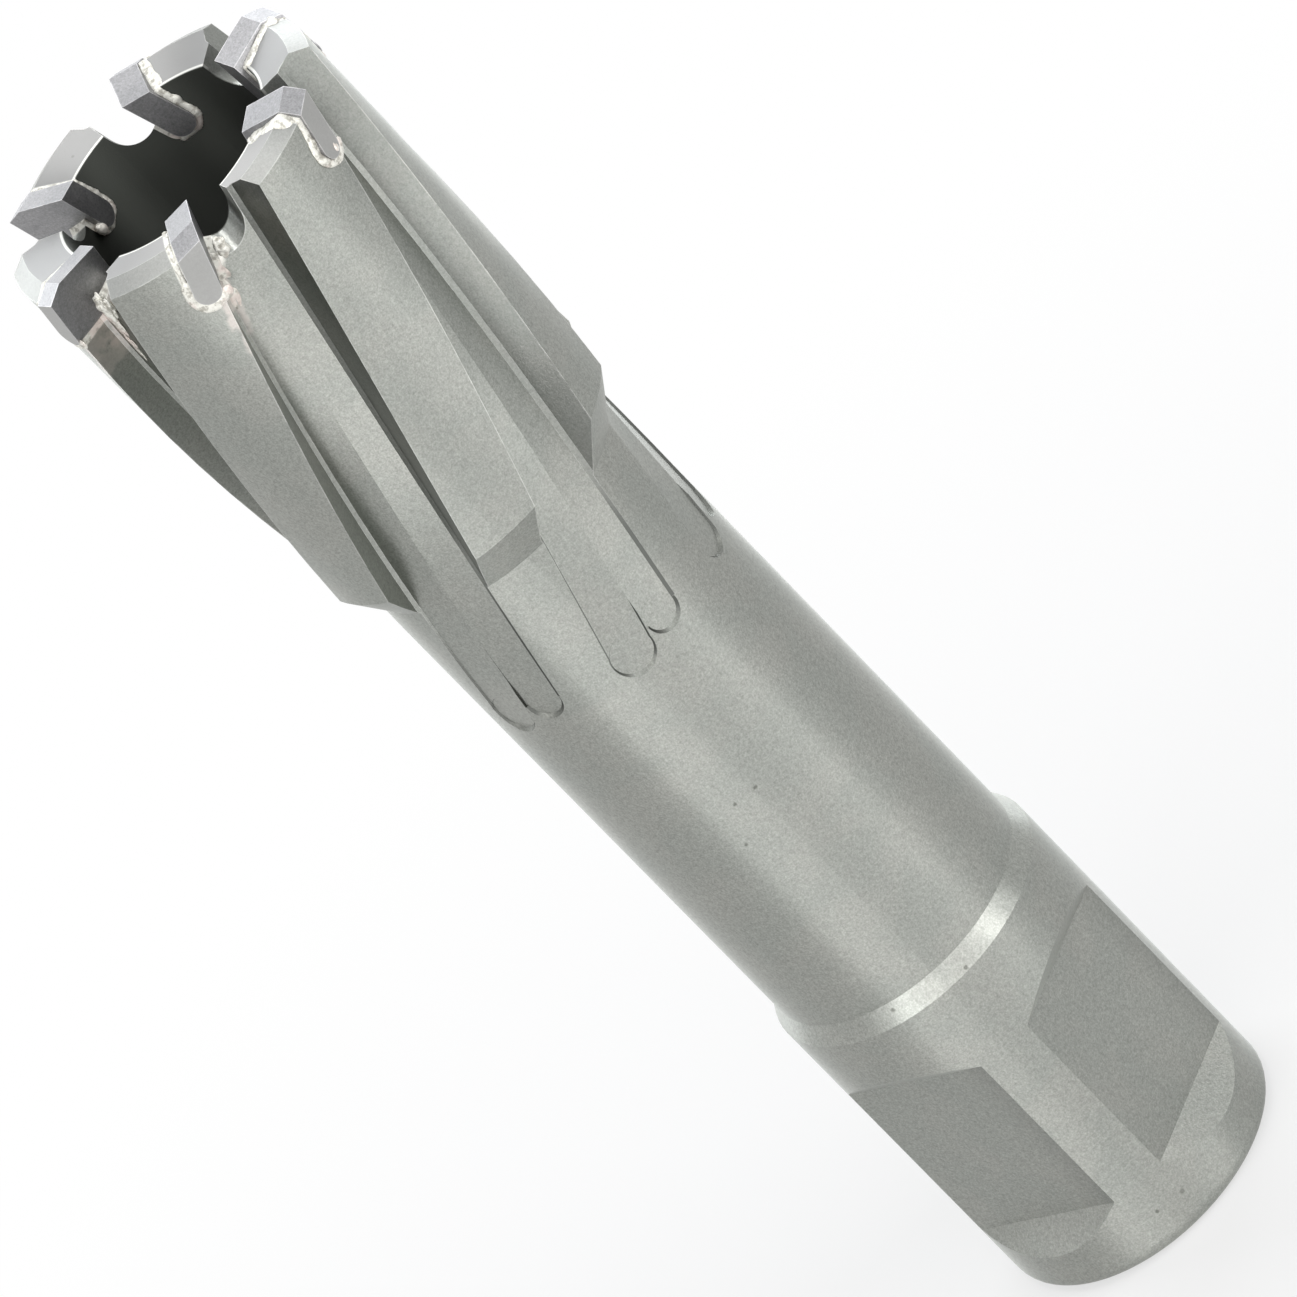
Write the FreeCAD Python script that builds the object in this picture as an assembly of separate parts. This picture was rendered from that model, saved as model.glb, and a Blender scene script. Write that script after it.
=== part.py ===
import FreeCAD, Part
import math
import os

# An annular cutter with brazed carbide teeth and a 19.05 mm shank with two clamping flats.
# The frame: origin at the centre of the shank's end face, +Z along the axis towards the teeth,
# +X midway between the directions that the two clamping flats face.
# Lengths are in millimetres and angles in degrees. Heights are measured from the shank's end face.
# A turn is positive anticlockwise seen from the teeth, which is also the way the cutter turns.

# Shank
SHANK_RADIUS = 9.525
SHANK_EDGE_ROUND = 1.06
SHANK_HEIGHT = 23.6
SHOULDER_HEIGHT = 1.26

# Clamping flats on the shank
FLAT_DEPTH = 1.645
FLAT_START = 5.1
FLAT_LENGTH = 13.0
FLAT_RAMP_ANGLE = 48.0
FLAT_TURNS = (45.0, -45.0)

# Neck and head
NECK_RADIUS = 8.89
NECK_TOP = 63.4
HEAD_STEP_HEIGHT = 3.0
HEAD_FRONT_RADIUS = 10.9
HEAD_TAPER = 0.25
HEAD_FRONT = 93.7

# Tooth crest of the steel body: the outer bevel rises to it and the inner bevel falls to the bore
CREST_RADIUS = 9.8
CREST_RISE = 0.6
INNER_BEVEL_DROP = 0.6

# Hollows
CORE_RADIUS = 7.2
CORE_FLOOR = 38.0
CORE_CONE_ANGLE = 59.0
PILOT_RADIUS = 4.0
PILOT_CHAMFER = 0.5

# Teeth and flutes
TOOTH_COUNT = 6
FLUTE_TURN = 5.5
FLUTE_CORNER = 0.2

# Leading groove of a flute, milled with a slot mill that ends in a round run-out on the neck
LEAD_GROOVE_WIDTH = 3.1
LEAD_GROOVE_FLOOR = 8.68
LEAD_GROOVE_LEAD = 232.3
LEAD_GROOVE_END = 52.5

# Trailing pass of a flute: a slower helix, a leaning wall and its own run-out
TRAIL_GROOVE_WIDTH = 2.6
TRAIL_GROOVE_FLOOR = 8.66
TRAIL_GROOVE_LEAD = 302.5
TRAIL_GROOVE_END = 53.2
TRAIL_CORNER_TURN = 12.4
TRAIL_WALL_LEAN = 23.4

# Gullet: a slot through the wall in front of each tooth, its round bottom falling outwards
GULLET_WIDTH = 3.4
GULLET_DEPTH = 2.6
GULLET_SLOPE = 29.0

# Carbide tip: a ground plate with a full round bottom, proud of the body on every cutting side
TIP_THICKNESS = 1.65
TIP_SEAT_DEPTH = 4.0
TIP_LEAN = 17.0
TIP_TURN = 8.0
TIP_PROUD_SIDE = 0.15
TIP_PROUD_BORE = 0.45
TIP_PROUD_TOP = 0.42
TIP_PROUD_FACE = 0.05
TIP_INNER_DROP = 0.33
TIP_RELIEF_ANGLE = 9.0
BRAZE_GAP = 0.4

# Room that a cutting shape reaches past the surface it cuts
PAST = 1.5

CREST_HEIGHT = HEAD_FRONT + CREST_RISE
BODY_INNER_EDGE = CREST_HEIGHT - INNER_BEVEL_DROP
FLAT_END = FLAT_START + FLAT_LENGTH
NECK_BOTTOM = SHANK_HEIGHT + SHOULDER_HEIGHT
HEAD_REAR = NECK_TOP + HEAD_STEP_HEIGHT
HEAD_REAR_RADIUS = HEAD_FRONT_RADIUS - HEAD_TAPER
TOOTH_PITCH = 360.0 / TOOTH_COUNT
CUT_RADIUS = max(HEAD_FRONT_RADIUS, HEAD_REAR_RADIUS) + PAST
AXIS = FreeCAD.Vector(0, 0, 1)
ORIGIN = FreeCAD.Vector(0, 0, 0)


def polar(radius, turn):
    """Return the x and y of a point at a radius and a turn."""
    return radius * math.cos(math.radians(turn)), radius * math.sin(math.radians(turn))


def helix_turn(lead, height):
    """Return how far a helix has turned at a height, counted from the crest."""
    return 360.0 * (height - CREST_HEIGHT) / lead


def turned(shape, turn):
    """Return a copy of a shape turned about the cutter's axis."""
    copy = shape.copy()
    copy.rotate(ORIGIN, AXIS, turn)
    return copy


def outline(points, height=0.0):
    """Return a closed flat wire through (x, y, rounding) corners at a height.

    A corner whose rounding is above zero is cut back on both sides and joined by a tangent arc.
    """
    edges = []
    ends = []
    count = len(points)
    for index, (x, y, rounding) in enumerate(points):
        corner = FreeCAD.Vector(x, y, height)
        if rounding <= 0:
            ends.append((corner, corner))
            continue
        before = FreeCAD.Vector(points[index - 1][0], points[index - 1][1], height) - corner
        after_point = points[(index + 1) % count]
        after = FreeCAD.Vector(after_point[0], after_point[1], height) - corner
        before.normalize()
        after.normalize()
        half_angle = before.getAngle(after) / 2
        cut_back = rounding / math.tan(half_angle)
        start = corner + before * cut_back
        end = corner + after * cut_back
        inward = before + after
        inward.normalize()
        centre = corner + inward * (rounding / math.sin(half_angle))
        middle = centre - inward * rounding
        edges.append(Part.Arc(start, middle, end).toShape())
        ends.append((start, end))
    for index in range(count):
        start = ends[index][1]
        end = ends[(index + 1) % count][0]
        if (end - start).Length > 1e-6:
            edges.append(Part.makeLine(start, end))
    return Part.Wire(Part.__sortEdges__(edges))


def revolved(points):
    """Return the solid of revolution of an (radius, height, rounding) outline."""
    wire = outline(points)
    wire.rotate(ORIGIN, FreeCAD.Vector(1, 0, 0), 90)
    return Part.Face(wire).revolve(ORIGIN, AXIS, 360)


def twisted(points, lead, bottom, top):
    """Return a bar with a flat section that turns about the axis as it rises along a helix."""
    spine = Part.Wire(Part.makeLine(FreeCAD.Vector(0, 0, bottom), FreeCAD.Vector(0, 0, top)))
    guide = Part.makeHelix(lead, top - bottom, HEAD_FRONT_RADIUS)
    guide.translate(FreeCAD.Vector(0, 0, bottom))
    sweep = Part.BRepOffsetAPI.MakePipeShell(spine)
    sweep.setAuxiliarySpine(Part.Wire(guide.Edges), True, 0)
    sweep.add(outline(points, bottom))
    sweep.build()
    sweep.makeSolid()
    return sweep.shape()


def slot_mill(radius, floor, height):
    """Return an end mill standing radially on a groove's floor, with its corner cut off."""
    place = FreeCAD.Vector(floor, 0, height)
    out = FreeCAD.Vector(1, 0, 0)
    tip = Part.makeCone(radius - FLUTE_CORNER, radius, FLUTE_CORNER, place, out)
    shank = Part.makeCylinder(radius, CUT_RADIUS - floor - FLUTE_CORNER, place + out * FLUTE_CORNER, out)
    return tip.fuse(shank)


def blank():
    """Return the turned steel blank, with its core and pilot bore, before any milling.

    The shank's wall is three bands, split where the clamping flats start and end, so that
    the band beside the flats is two plain arcs and the other two go all the way round.
    """
    cone_height = (CORE_RADIUS - PILOT_RADIUS) / math.tan(math.radians(CORE_CONE_ANGLE))
    profile = [
        (PILOT_RADIUS + PILOT_CHAMFER, 0, 0),
        (SHANK_RADIUS, 0, SHANK_EDGE_ROUND),
        (SHANK_RADIUS, FLAT_START, 0),
        (SHANK_RADIUS, FLAT_END, 0),
        (SHANK_RADIUS, SHANK_HEIGHT, 0),
        (NECK_RADIUS, NECK_BOTTOM, 0),
        (NECK_RADIUS, NECK_TOP, 0),
        (HEAD_REAR_RADIUS, HEAD_REAR, 0),
        (HEAD_FRONT_RADIUS, HEAD_FRONT, 0),
        (CREST_RADIUS, CREST_HEIGHT, 0),
        (CORE_RADIUS, BODY_INNER_EDGE, 0),
        (CORE_RADIUS, CORE_FLOOR, 0),
        (PILOT_RADIUS, CORE_FLOOR - cone_height, 0),
        (PILOT_RADIUS, PILOT_CHAMFER, 0),
    ]
    return revolved(profile)


def flat_cutter(turn):
    """Return the block that mills one clamping flat, with a ramp at each end."""
    floor = SHANK_RADIUS - FLAT_DEPTH
    depth = FLAT_DEPTH + PAST
    ramp = depth * math.tan(math.radians(FLAT_RAMP_ANGLE))
    wire = outline([
        (floor, FLAT_START, 0),
        (floor + depth, FLAT_START - ramp, 0),
        (floor + depth, FLAT_END + ramp, 0),
        (floor, FLAT_END, 0),
    ])
    wire.rotate(ORIGIN, FreeCAD.Vector(1, 0, 0), 90)
    wire.translate(FreeCAD.Vector(0, SHANK_RADIUS, 0))
    block = Part.Face(wire).extrude(FreeCAD.Vector(0, -2 * SHANK_RADIUS, 0))
    return turned(block, turn)


def lead_groove():
    """Return the leading groove of the first flute: a twisted slot and its round run-out."""
    half = LEAD_GROOVE_WIDTH / 2
    run_out = LEAD_GROOVE_END + half
    section = [
        (LEAD_GROOVE_FLOOR, -half + FLUTE_CORNER, 0),
        (LEAD_GROOVE_FLOOR + FLUTE_CORNER, -half, 0),
        (CUT_RADIUS, -half, 0),
        (CUT_RADIUS, half, 0),
        (LEAD_GROOVE_FLOOR + FLUTE_CORNER, half, 0),
        (LEAD_GROOVE_FLOOR, half - FLUTE_CORNER, 0),
    ]
    slot = twisted(section, LEAD_GROOVE_LEAD, run_out, CREST_HEIGHT + PAST)
    end = slot_mill(half, LEAD_GROOVE_FLOOR, run_out)
    turn = FLUTE_TURN + helix_turn(LEAD_GROOVE_LEAD, run_out)
    return [turned(slot, turn), turned(end, turn)]


def trail_groove():
    """Return the trailing pass of the first flute: a twisted slot with one leaning wall."""
    half = TRAIL_GROOVE_WIDTH / 2
    run_out = TRAIL_GROOVE_END + half
    corner_turn = math.degrees(math.atan2(half, TRAIL_GROOVE_FLOOR))
    wall_slope = math.tan(math.radians(TRAIL_WALL_LEAN + corner_turn))
    depth = CUT_RADIUS - TRAIL_GROOVE_FLOOR
    section = [
        (TRAIL_GROOVE_FLOOR, -half, 0),
        (CUT_RADIUS, -half, 0),
        (CUT_RADIUS, half + depth * wall_slope, 0),
        (TRAIL_GROOVE_FLOOR + FLUTE_CORNER, half + FLUTE_CORNER * wall_slope, 0),
        (TRAIL_GROOVE_FLOOR, half - FLUTE_CORNER, 0),
    ]
    slot = twisted(section, TRAIL_GROOVE_LEAD, run_out, CREST_HEIGHT + PAST)
    end = slot_mill(half, TRAIL_GROOVE_FLOOR, run_out)
    turn = FLUTE_TURN + TRAIL_CORNER_TURN - corner_turn + helix_turn(TRAIL_GROOVE_LEAD, run_out)
    return [turned(slot, turn), turned(end, turn)]


def stadium(half_width, height, lean):
    """Return a wire in the YZ plane: a slot with a round bottom centred on the origin.

    The slot rises by the height and leans by the angle towards +Y.
    """
    left = FreeCAD.Vector(0, -half_width, 0)
    low = FreeCAD.Vector(0, 0, -half_width)
    right = FreeCAD.Vector(0, half_width, 0)
    rise = FreeCAD.Vector(0, 0, height)
    wire = Part.Wire([
        Part.Arc(left, low, right).toShape(),
        Part.makeLine(right, right + rise),
        Part.makeLine(right + rise, left + rise),
        Part.makeLine(left + rise, left),
    ])
    wire.rotate(ORIGIN, FreeCAD.Vector(1, 0, 0), -lean)
    return wire


def helix_lean(lead, radius):
    """Return the angle between a helix and the axis at a radius."""
    return math.degrees(math.atan(2 * math.pi * radius / lead))


def gullet():
    """Return the slot that breaks through the wall in front of the first tooth."""
    half = GULLET_WIDTH / 2
    rim_centre = HEAD_FRONT - GULLET_DEPTH + half
    slot_height = CREST_HEIGHT - rim_centre + PAST * 2
    wall = LEAD_GROOVE_FLOOR - CORE_RADIUS
    wire = stadium(half, slot_height, helix_lean(LEAD_GROOVE_LEAD, LEAD_GROOVE_FLOOR))
    wire.translate(FreeCAD.Vector(-wall - PAST, 0, 0))
    slot = Part.Face(wire).extrude(FreeCAD.Vector(wall + PAST + CUT_RADIUS - LEAD_GROOVE_FLOOR, 0, 0))
    slot.rotate(ORIGIN, FreeCAD.Vector(0, 1, 0), GULLET_SLOPE)
    slot.translate(FreeCAD.Vector(LEAD_GROOVE_FLOOR, 0, rim_centre))
    return turned(slot, FLUTE_TURN + helix_turn(LEAD_GROOVE_LEAD, rim_centre))


def tip_frame():
    """Return the place of the first tip: its plate frame's turn, middle offset and seat centre.

    The cutting face passes through the groove's leading edge, flush with it but for the
    named stand-out, and the plate is turned from the groove's middle by TIP_TURN.
    """
    seat_centre = CREST_HEIGHT - TIP_SEAT_DEPTH + TIP_THICKNESS / 2
    side_radius = HEAD_FRONT_RADIUS + TIP_PROUD_SIDE
    edge_y = -LEAD_GROOVE_WIDTH / 2 + TIP_PROUD_FACE
    edge_turn = math.degrees(math.asin(edge_y / side_radius)) + TIP_TURN
    face_x, face_y = polar(side_radius, edge_turn)
    plate_turn = FLUTE_TURN + helix_turn(LEAD_GROOVE_LEAD, seat_centre) - TIP_TURN
    return plate_turn, face_x, face_y - TIP_THICKNESS / 2, seat_centre


def tip_plate(growth):
    """Return the flat, round-bottomed plate of the first tip, grown evenly for its pocket."""
    plate_turn, _, middle, seat_centre = tip_frame()
    height = CREST_HEIGHT + TIP_PROUD_TOP + PAST - seat_centre
    wire = stadium(TIP_THICKNESS / 2 + growth, height, TIP_LEAN)
    wire.translate(FreeCAD.Vector(CORE_RADIUS - PAST, middle, seat_centre))
    plate = Part.Face(wire).extrude(FreeCAD.Vector(CUT_RADIUS - CORE_RADIUS + PAST, 0, 0))
    return turned(plate, plate_turn)


def tip_envelope():
    """Return the ground outside of the first tip: its side, bevels and bore face, with relief."""
    plate_turn, face_x, middle, seat_centre = tip_frame()
    crest = CREST_HEIGHT + TIP_PROUD_TOP
    bore_x = CORE_RADIUS - TIP_PROUD_BORE
    outer_edge = HEAD_FRONT + TIP_PROUD_TOP
    bottom = seat_centre - TIP_THICKNESS - PAST
    reach = TIP_THICKNESS + PAST
    fall = math.tan(math.radians(TIP_RELIEF_ANGLE))
    lean = math.tan(math.radians(TIP_LEAN)) * (crest - seat_centre)
    face_y = middle + TIP_THICKNESS / 2 + lean
    wire = outline([
        (bore_x, bottom, 0),
        (face_x, bottom, 0),
        (face_x, outer_edge, 0),
        (CREST_RADIUS, crest, 0),
        (bore_x, crest - TIP_INNER_DROP, 0),
    ])
    wire.rotate(ORIGIN, FreeCAD.Vector(1, 0, 0), 90)
    wire.translate(FreeCAD.Vector(0, face_y + reach, fall * reach))
    prism = Part.Face(wire).extrude(FreeCAD.Vector(0, -3 * reach, -3 * reach * fall))
    return turned(prism, plate_turn)


def first_solid(shape):
    """Return the largest solid of a result."""
    return max(shape.Solids, key=lambda item: item.Volume)


def write(name, shape):
    """Check one piece and write it to its own file."""
    if not shape.isValid():
        raise ValueError(name + " is not a valid solid")
    shape.exportStep("parts/" + name + ".step")
    print(name, "solids", len(shape.Solids), "volume", round(shape.Volume, 3))


def main():
    """Make the body, the tips and their brazed joints, and write each to its file."""
    turns = [TOOTH_PITCH * index for index in range(TOOTH_COUNT)]
    cutters = [flat_cutter(turn) for turn in FLAT_TURNS]
    flute = lead_groove() + trail_groove() + [gullet()]
    for turn in turns:
        cutters += [turned(shape, turn) for shape in flute]
    milled = blank().cut(cutters)

    plate = tip_plate(0.0)
    pocket = tip_plate(BRAZE_GAP)
    tip = plate.common(tip_envelope())
    body = milled.cut([turned(pocket, turn) for turn in turns])
    write("cutter_body", first_solid(body))
    for index, turn in enumerate(turns, start=1):
        braze = milled.common(turned(pocket, turn)).cut(turned(plate, turn))
        write("carbide_tip_" + str(index), first_solid(turned(tip, turn)).removeSplitter())
        write("braze_joint_" + str(index), first_solid(braze).removeSplitter())


main()
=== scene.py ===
"""Looks of an annular cutter: satin ground steel, ground carbide tips and rough brazed seams.

Every length below is in millimetres, except in calls to Blender, which get metres. The frame is
the CAD part's own: origin at the centre of the shank's end face, +Z along the axis to the teeth.
"""

import logging
import math
from dataclasses import dataclass
from enum import Enum
from typing import Any, Sequence

import bpy
import numpy as np
from mathutils import Matrix, Vector


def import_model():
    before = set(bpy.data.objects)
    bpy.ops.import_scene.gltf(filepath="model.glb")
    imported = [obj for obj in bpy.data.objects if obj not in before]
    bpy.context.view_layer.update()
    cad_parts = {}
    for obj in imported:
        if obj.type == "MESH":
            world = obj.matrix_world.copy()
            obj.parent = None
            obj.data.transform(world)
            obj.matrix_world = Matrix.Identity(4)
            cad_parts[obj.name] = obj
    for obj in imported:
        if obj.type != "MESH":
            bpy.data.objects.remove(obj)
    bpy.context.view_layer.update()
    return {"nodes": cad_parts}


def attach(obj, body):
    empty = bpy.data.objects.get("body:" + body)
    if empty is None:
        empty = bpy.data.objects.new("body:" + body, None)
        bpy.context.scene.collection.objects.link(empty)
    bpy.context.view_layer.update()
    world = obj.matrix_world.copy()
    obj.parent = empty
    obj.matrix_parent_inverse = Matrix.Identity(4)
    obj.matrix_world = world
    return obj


LOG = logging.getLogger("annular_cutter")
MM = 0.001
TOOTH_PITCH = 60.0
WHITE = (1.0, 1.0, 1.0, 1.0)
NUMBER = "NodeSocketFloat"
VECTOR = "NodeSocketVector"

Array = np.ndarray
Face = tuple[int, ...]
Shape = tuple[Array, list[Face]]
Colour = tuple[float, float, float]
Triple = tuple[float, float, float]
Band = tuple[float, float]


class Slot(Enum):
    """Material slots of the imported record."""

    STEEL = "ground_steel"
    CARBIDE = "carbide"
    BRAZE = "braze"


class Side(Enum):
    """Surfaces of the head that a brazed seam runs along."""

    OUTSIDE = "outside"
    TOP = "top"
    BORE = "bore"


@dataclass(frozen=True)
class HeadSizes:
    """Sizes of the head that the brazed seams follow."""

    outer_radius: float = 10.9
    crest_radius: float = 9.8
    core_radius: float = 7.2
    outer_height: float = 93.7
    crest_height: float = 94.3
    inner_height: float = 93.7
    flute_turn: float = 5.5
    groove_width: float = 3.1
    groove_lead: float = 232.3
    tip_thickness: float = 1.65
    tip_seat_depth: float = 4.0
    tip_lean: float = 17.0
    tip_turn: float = 8.0
    tip_face: float = 0.05
    tip_side: float = 0.15
    braze_gap: float = 0.4

    def top_height(self, radius: Array) -> Array:
        """Work out the height of the steel's front surface: two bevels that meet at the crest.

        Args:
            radius: Distances from the axis.

        Returns:
            The height at each radius.
        """
        radii = [self.core_radius, self.crest_radius, self.outer_radius]
        heights = [self.inner_height, self.crest_height, self.outer_height]
        return np.interp(radius, radii, heights)

    @property
    def seat_height(self) -> float:
        """Height of the centre of a tip's round bottom."""
        return self.crest_height - self.tip_seat_depth + self.tip_thickness / 2

    @property
    def plate_turn(self) -> float:
        """Turn of the first tip's own frame about the axis."""
        rise = self.seat_height - self.crest_height
        return self.flute_turn + 360.0 * rise / self.groove_lead - self.tip_turn

    @property
    def plate_middle(self) -> float:
        """Offset of a tip's middle plane in its own frame."""
        side = self.outer_radius + self.tip_side
        edge = math.asin((-self.groove_width / 2 + self.tip_face) / side)
        return side * math.sin(edge + math.radians(self.tip_turn)) - self.tip_thickness / 2


HEAD = HeadSizes()


@dataclass(frozen=True)
class Tooth:
    """One tooth, with the places along the seam between its tip and the steel."""

    index: int

    @property
    def turn(self) -> float:
        """Turn of the tooth's tip frame, in radians."""
        return math.radians(HEAD.plate_turn + TOOTH_PITCH * self.index)

    def to_row(self, local: Array) -> Array:
        """Turn points or directions of the tip's own frame into the part's frame.

        Args:
            local: Array whose last axis is x, y and z.

        Returns:
            An array of the same form.
        """
        cos, sin = math.cos(self.turn), math.sin(self.turn)
        turned = local.copy()
        turned[..., 0] = local[..., 0] * cos - local[..., 1] * sin
        turned[..., 1] = local[..., 0] * sin + local[..., 1] * cos
        return turned

    @staticmethod
    def flank(along: Array, offset: float) -> tuple[Array, Array]:
        """Work out the places on a line that goes round the tip at a distance from its face.

        The line is a slot's outline: a half circle round the tip's bottom, from the front to the
        back, and then a straight line up its back. It leans with the tip.

        Args:
            along: 0 to pi goes round the bottom, and beyond that every unit is 1 mm upwards.
            offset: Distance from the tip's middle plane.

        Returns:
            The offset across the tip and the height of each point.
        """
        lean = math.radians(HEAD.tip_lean)
        bend = np.clip(along, 0.0, math.pi)
        rise = np.maximum(along - math.pi, 0.0)
        across = offset * np.cos(bend)
        up = rise - offset * np.sin(bend)
        y = HEAD.plate_middle + across * math.cos(lean) + up * math.sin(lean)
        z = HEAD.seat_height - across * math.sin(lean) + up * math.cos(lean)
        return y, z

    def seam(self, side: Side, steps: Array, start: float, end: float) -> tuple[Array, Array]:
        """Work out points along one stretch of the brazed seam and the surface's directions.

        Args:
            side: The surface that the seam is seen on.
            steps: Places from 0 to 1 along the stretch.
            start: Where the stretch starts: a place as in flank, or a radius on the top.
            end: Where it ends, in the same measure.

        Returns:
            Points and outward surface directions in the part's frame.
        """
        offset = HEAD.tip_thickness / 2 + HEAD.braze_gap / 2
        along = start + (end - start) * steps
        if side is Side.TOP:
            height = HEAD.top_height(along)
            y = self.back_offset(height, offset)
            points = np.stack([np.sqrt(along ** 2 - y ** 2), y, height], axis=-1)
            normals = np.zeros_like(points)
            normals[:, 2] = 1.0
            return self.to_row(points), self.to_row(normals)
        radius = HEAD.outer_radius if side is Side.OUTSIDE else HEAD.core_radius
        y, z = self.flank(along, offset)
        x = np.sqrt(radius ** 2 - y ** 2)
        points = np.stack([x, y, z], axis=-1)
        normals = np.stack([x, y, np.zeros_like(x)], axis=-1) / radius
        if side is Side.BORE:
            normals = -normals
        return self.to_row(points), self.to_row(normals)

    @staticmethod
    def back_offset(height: Array, offset: float) -> Array:
        """Work out where the seam's straight line up the tip's back is at a height.

        Args:
            height: Heights on the part.
            offset: Distance from the tip's middle plane.

        Returns:
            The offset across the tip's frame at each height.
        """
        lean = math.radians(HEAD.tip_lean)
        rise = (height - HEAD.seat_height - offset * math.sin(lean)) / math.cos(lean)
        return HEAD.plate_middle - offset * math.cos(lean) + rise * math.sin(lean)


CAMERA_TURN = 5.94
LAMP_TARGET = (0.0, 0.0, 50.0)
WORLD_STRENGTH = 0.03
COOL = (0.94, 0.97, 1.0)


@dataclass(frozen=True)
class Lamp:
    """A rectangular soft box aimed at the middle of the cutter.

    Its azimuth is counted from the side that the camera looks from.
    """

    name: str
    azimuth: float
    elevation: float
    distance: float
    width: float
    height: float
    strength: float
    colour: Colour = (1.0, 1.0, 1.0)
    spread: float = 180.0

    def build(self) -> None:
        """Make the lamp. Its power gives a radiance of its strength over its whole face."""
        data = bpy.data.lights.new(self.name, "AREA")
        data.shape = "RECTANGLE"
        data.size = self.width * MM
        data.size_y = self.height * MM
        data.energy = self.strength * math.pi * data.size * data.size_y
        data.color = self.colour
        data.spread = math.radians(self.spread)
        lamp = bpy.data.objects.new(self.name, data)
        bpy.context.scene.collection.objects.link(lamp)
        azimuth = math.radians(self.azimuth + CAMERA_TURN)
        elevation = math.radians(self.elevation)
        back = Vector((math.cos(azimuth) * math.cos(elevation),
                       math.sin(azimuth) * math.cos(elevation), math.sin(elevation)))
        target = Vector(LAMP_TARGET) * MM
        turn = back.to_track_quat("Z", "Y").to_matrix().to_4x4()
        lamp.matrix_world = Matrix.Translation(target + back * self.distance * MM) @ turn
        lamp.visible_camera = False


LAMPS = (
    Lamp("front_left", -30.0, 12.0, 700.0, 480.0, 250.0, 5.4),
    Lamp("front", 0.0, 12.0, 700.0, 240.0, 250.0, 3.0),
    Lamp("front_right", 30.0, 12.0, 700.0, 480.0, 250.0, 4.0),
    Lamp("high_right", 56.0, 42.0, 700.0, 400.0, 300.0, 5.6),
    Lamp("high_left", -56.0, 42.0, 700.0, 400.0, 300.0, 3.0),
    Lamp("behind_right", 150.0, 12.0, 700.0, 380.0, 250.0, 6.2, COOL),
    Lamp("behind", 180.0, 12.0, 700.0, 340.0, 250.0, 2.2, COOL),
    Lamp("behind_left", -150.0, 12.0, 700.0, 380.0, 250.0, 4.4, COOL),
    Lamp("high_behind_left", -150.0, 42.0, 700.0, 300.0, 300.0, 3.8, COOL),
    Lamp("high_behind_right", 150.0, 42.0, 700.0, 300.0, 300.0, 2.0, COOL),
    Lamp("above", 0.0, 89.0, 330.0, 60.0, 500.0, 1.8, spread=90.0),
)


FLOOR_SIDES = 64


@dataclass(frozen=True)
class Studio:
    """Camera, floor and soft lamps."""

    camera_place: Triple = (1087.25, 113.56, 664.0)
    camera_right: Triple = (0.2671, 0.7465, -0.6091)
    camera_up: Triple = (-0.4211, 0.6590, 0.6229)
    camera_back: Triple = (0.8667, 0.0902, 0.4905)
    lens: float = 599.6
    sensor: float = 36.0
    nearest_seen: float = 100.0
    furthest_seen: float = 20000.0
    floor_rings: tuple[float, ...] = (30.0, 120.0, 500.0, 1500.0, 4000.0)

    def build_camera(self) -> None:
        """Make the camera of the photograph."""
        data = bpy.data.cameras.new("camera")
        data.lens = self.lens
        data.sensor_width = self.sensor
        data.clip_start = self.nearest_seen * MM
        data.clip_end = self.furthest_seen * MM
        camera = bpy.data.objects.new("camera", data)
        bpy.context.scene.collection.objects.link(camera)
        columns = (self.camera_right, self.camera_up, self.camera_back)
        turn = Matrix(columns).transposed().to_4x4()
        camera.matrix_world = Matrix.Translation(Vector(self.camera_place) * MM) @ turn
        bpy.context.scene.camera = camera

    def build_floor(self, material: bpy.types.Material) -> None:
        """Make the floor: a flat disc from polar rings, wide enough for every view.

        Args:
            material: Finish of the floor.
        """
        turns = np.linspace(0.0, 2 * math.pi, FLOOR_SIDES + 1)[:-1]
        radius, turn = np.meshgrid(self.floor_rings, turns, indexing="ij")
        grid = np.stack([radius * np.cos(turn), radius * np.sin(turn), 0 * radius], axis=-1)
        points = np.vstack([np.zeros((1, 3)), grid.reshape(-1, 3)])
        faces = fan(0, 1, FLOOR_SIDES) + ring_faces(1, len(self.floor_rings), FLOOR_SIDES)
        floor = surface_object("floor", points, faces, material)

    def build_lamps(self) -> None:
        """Make the soft lamps and the world's even light."""
        for lamp in LAMPS:
            lamp.build()
        world = bpy.data.worlds.new("studio")
        bpy.context.scene.world = world
        world.use_nodes = True
        wiring = Wiring(world.node_tree)
        background = wiring.add("ShaderNodeBackground")
        background.inputs["Color"].default_value = WHITE
        strength = wiring.math("MAXIMUM", wiring.seen_rays(), WORLD_STRENGTH)
        wiring.feed(background.inputs["Strength"], strength)
        wiring.feed(wiring.add("ShaderNodeOutputWorld").inputs["Surface"], background.outputs[0])


def fan(centre: int, first: int, count: int) -> list[Face]:
    """Return triangles from a centre point to a ring of points, facing along the ring's axis."""
    following = [first + (step + 1) % count for step in range(count)]
    return [(centre, first + step, after) for step, after in enumerate(following)]


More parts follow.
